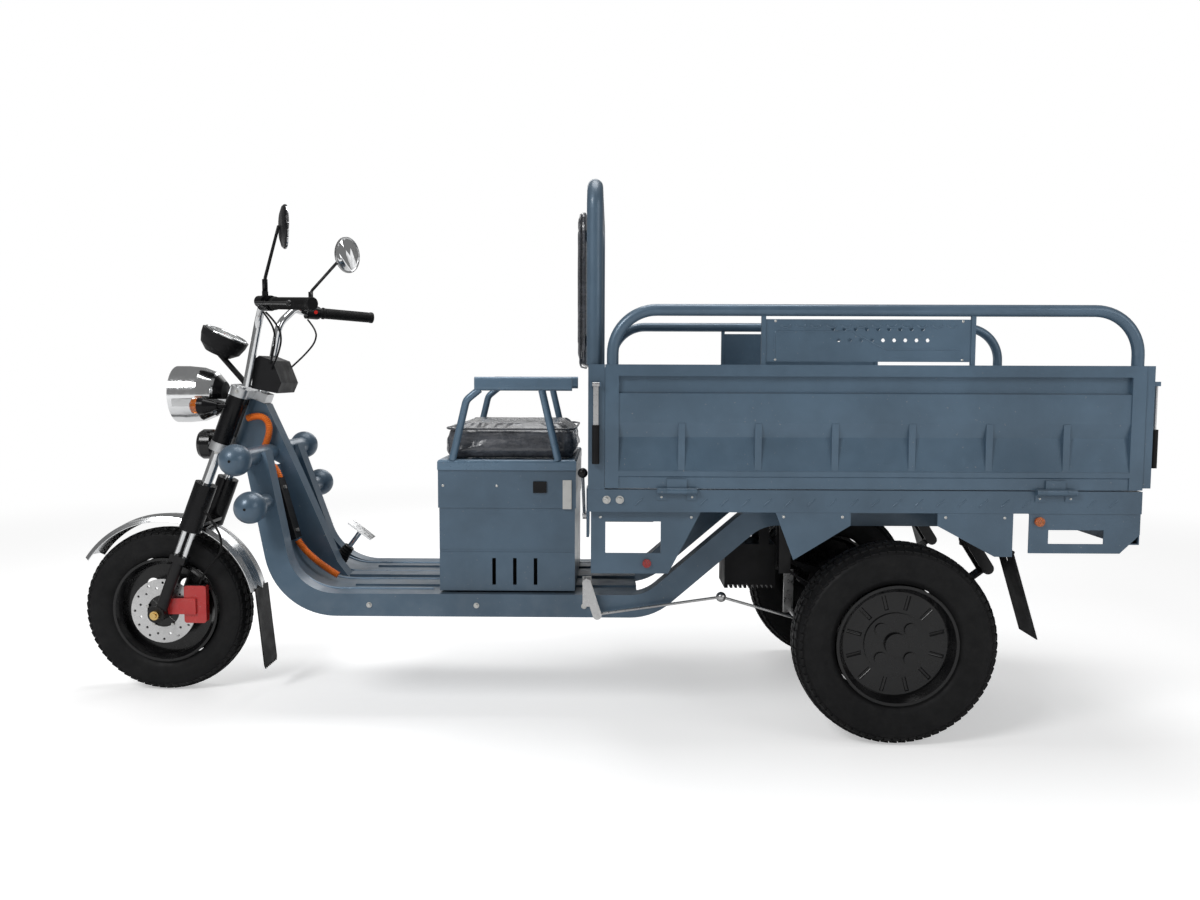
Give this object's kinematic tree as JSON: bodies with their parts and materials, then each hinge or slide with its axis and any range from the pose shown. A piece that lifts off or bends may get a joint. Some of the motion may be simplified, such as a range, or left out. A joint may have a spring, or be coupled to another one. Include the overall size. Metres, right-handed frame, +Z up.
{
  "type": "cargo tricycle",
  "caption": "Electric cargo tricycle with a raked front fork, step-through floor, bench seat over a battery box and a tipping flat bed with drop gates and tube arches.",
  "frame": {"origin": "on the ground under the middle of the bounding box", "axes": "-X to the front, -Y to the vehicle's left side seen in the picture, +Z up"},
  "size_m": [3.1925, 1.042, 1.5709],
  "materials": {
    "body_paint": "satin slate blue paint",
    "black_paint": "black paint",
    "bare_steel": "brushed steel",
    "chrome": "chrome",
    "black_plastic": "matte black plastic",
    "grey_cover": "dark grey cover",
    "orange": "orange ribbed hose",
    "amber": "amber lens",
    "lens": "clear lens",
    "rubber": "black rubber",
    "tyre": "black tyre",
    "mirror": "black housing with mirror glass",
    "red_paint": "red paint",
    "red_plastic": "red button"
  },
  "bodies": {
    "chassis": {"chassis_frame": "body_paint", "spine_and_head": "body_paint", "ball_bars": "body_paint", "floor_pan": "body_paint", "spring_brackets": "black_paint", "leaf_springs": "black_paint", "cable_cover": "black_plastic", "orange_conduit": "orange", "seat_box": "body_paint", "battery_pack": "black_plastic", "controller_box": "black_plastic", "brake_linkage": "bare_steel", "pedal_boot": "rubber"},
    "seat": {"seat_frame": "body_paint", "seat_cushion": "grey_cover"},
    "pedal": {"brake_pedal": "chrome"},
    "lock_lever": {"bed_lock_lever": "bare_steel"},
    "steering": {"fork_upper": "bare_steel", "fork_covers": "black_plastic", "handlebar": "chrome", "control_housings": "black_plastic", "headlight_shell": "chrome", "headlight_lens": "lens", "gauge_pod": "black_plastic", "turn_signals": "amber", "horn": "black_paint", "steering_shroud": "black_plastic", "control_cables": "black_plastic"},
    "throttle": {"throttle_grip": "rubber"},
    "lever_left": {"brake_lever_left": "black_paint"},
    "lever_right": {"brake_lever_right": "black_paint"},
    "mirror_arm_left": {"mirror_left": "mirror"},
    "mirror_arm_right": {"mirror_right": "mirror"},
    "button": {"horn_button": "red_plastic"},
    "fork_lower": {"fork_legs": "black_paint", "front_fender": "bare_steel", "brake_caliper": "red_paint"},
    "front_wheel": {"front_tyre": "tyre", "front_rim": "black_paint", "brake_disc": "bare_steel"},
    "axle": {"rear_axle": "black_paint", "drive_motor": "black_paint"},
    "rear_wheel_left": {"rear_tyre_left": "tyre", "rear_rim_left": "black_paint"},
    "rear_wheel_right": {"rear_tyre_right": "tyre", "rear_rim_right": "black_paint"},
    "bed": {"bed_base": "body_paint", "bed_front_wall": "body_paint", "backrest_frame": "body_paint", "back_cushion": "grey_cover", "bed_guards": "body_paint", "rear_bumper": "body_paint"},
    "rear_flaps": {"rear_mudflaps": "rubber"},
    "gate_left": {"side_gate_left": "body_paint"},
    "gate_right": {"side_gate_right": "body_paint"},
    "tail": {"tailgate": "body_paint"},
    "front_latch_left": {"latch_front_left": "bare_steel"},
    "front_latch_right": {"latch_front_right": "bare_steel"},
    "rear_latch_left": {"latch_rear_left": "bare_steel"},
    "rear_latch_right": {"latch_rear_right": "bare_steel"}
  },
  "joints": [
    {"name": "steering", "type": "hinge", "parent": "chassis", "child": "steering", "pos_m": [-1.019, 0, 0.985], "axis": [0.3584, 0, 0.9336], "range_deg": [-40, 40]},
    {"name": "fork_travel", "type": "slide", "parent": "steering", "child": "fork_lower", "axis": [0.3584, 0, 0.9336], "range_m": [0, 0.07], "stiffness_N_per_m": 20000, "springref_m": -0.1},
    {"name": "front_wheel_spin", "type": "hinge", "parent": "fork_lower", "child": "front_wheel", "pos_m": [-1.342, 0, 0.266], "axis": [0, 1, 0], "continuous": true},
    {"name": "rear_axle_travel", "type": "slide", "parent": "chassis", "child": "axle", "axis": [0, 0, 1], "range_m": [0, 0.05], "stiffness_N_per_m": 80000, "springref_m": -0.06, "deforming": ["leaf_springs"]},
    {"name": "rear_wheel_left_spin", "type": "hinge", "parent": "axle", "child": "rear_wheel_left", "pos_m": [0.894, -0.43, 0.284], "axis": [0, 1, 0], "continuous": true},
    {"name": "rear_wheel_right_spin", "type": "hinge", "parent": "axle", "child": "rear_wheel_right", "pos_m": [0.894, 0.43, 0.284], "axis": [0, 1, 0], "continuous": true},
    {"name": "bed_tip", "type": "hinge", "parent": "chassis", "child": "bed", "pos_m": [1.235, 0, 0.64], "axis": [0, 1, 0], "range_deg": [0, 30]},
    {"name": "rear_flaps_swing", "type": "hinge", "parent": "bed", "child": "rear_flaps", "pos_m": [1.2, 0, 0.548], "axis": [0, 1, 0], "range_deg": [-30, 0]},
    {"name": "bed_lock_turn", "type": "hinge", "parent": "bed", "child": "lock_lever", "pos_m": [0.02, -0.3, 0.62], "axis": [1, 0, 0], "range_deg": [0, 25]},
    {"name": "gate_left_drop", "type": "hinge", "parent": "bed", "child": "gate_left", "pos_m": [0.8, -0.5093, 0.716], "axis": [1, 0, 0], "range_deg": [0, 165]},
    {"name": "gate_right_drop", "type": "hinge", "parent": "bed", "child": "gate_right", "pos_m": [0.8, 0.5093, 0.716], "axis": [-1, 0, 0], "range_deg": [0, 165]},
    {"name": "tailgate_drop", "type": "hinge", "parent": "bed", "child": "tail", "pos_m": [1.5483, 0, 0.716], "axis": [0, 1, 0], "range_deg": [0, 160]},
    {"name": "front_latch_left_swing", "type": "hinge", "parent": "bed", "child": "front_latch_left", "pos_m": [0.057, -0.511, 1.004], "axis": [-1, 0, 0], "range_deg": [0, 120]},
    {"name": "front_latch_right_swing", "type": "hinge", "parent": "bed", "child": "front_latch_right", "pos_m": [0.057, 0.511, 1.004], "axis": [1, 0, 0], "range_deg": [0, 120]},
    {"name": "rear_latch_left_swing", "type": "hinge", "parent": "tail", "child": "rear_latch_left", "pos_m": [1.5745, -0.478, 1.01], "axis": [0, -1, 0], "range_deg": [0, 120]},
    {"name": "rear_latch_right_swing", "type": "hinge", "parent": "tail", "child": "rear_latch_right", "pos_m": [1.5745, 0.478, 1.01], "axis": [0, -1, 0], "range_deg": [0, 120]},
    {"name": "seat_lid", "type": "hinge", "parent": "chassis", "child": "seat", "pos_m": [-0.421, 0, 0.747], "axis": [0, -1, 0], "range_deg": [0, 80]},
    {"name": "brake_pedal_press", "type": "slide", "parent": "chassis", "child": "pedal", "axis": [-0.6, 0, -0.8], "range_m": [0, 0.025], "stiffness_N_per_m": 2000, "springref_m": -0.01, "deforming": ["pedal_boot"]},
    {"name": "throttle_twist", "type": "hinge", "parent": "steering", "child": "throttle", "pos_m": [-0.911, 0.232, 1.238], "axis": [0.801, 0.5969, -0.0471], "range_deg": [0, 70], "stiffness_Nm_per_rad": 0.3, "springref_deg": -17.19},
    {"name": "brake_lever_left_pull", "type": "hinge", "parent": "steering", "child": "lever_left", "pos_m": [-0.94791, -0.25813, 1.23666], "axis": [0, 0, 1], "range_deg": [0, 8], "stiffness_Nm_per_rad": 2, "springref_deg": -11.46},
    {"name": "brake_lever_right_pull", "type": "hinge", "parent": "steering", "child": "lever_right", "pos_m": [-0.94791, 0.25813, 1.23666], "axis": [0, 0, -1], "range_deg": [0, 8], "stiffness_Nm_per_rad": 2, "springref_deg": -11.46},
    {"name": "mirror_left_turn", "type": "hinge", "parent": "steering", "child": "mirror_arm_left", "pos_m": [-0.9314, -0.22428, 1.23899], "axis": [0, 0, 1], "range_deg": [-30, 30]},
    {"name": "mirror_right_turn", "type": "hinge", "parent": "steering", "child": "mirror_arm_right", "pos_m": [-0.9314, 0.22428, 1.23899], "axis": [0, 0, 1], "range_deg": [-30, 30]},
    {"name": "horn_button_press", "type": "slide", "parent": "steering", "child": "button", "axis": [-0.5975, 0.8019, 0], "range_m": [0, 0.002], "stiffness_N_per_m": 800, "springref_m": -0.001}
  ],
  "couplings": [
    {"joint": "rear_flaps_swing", "follows": "bed_tip", "ratio": -1}
  ]
}
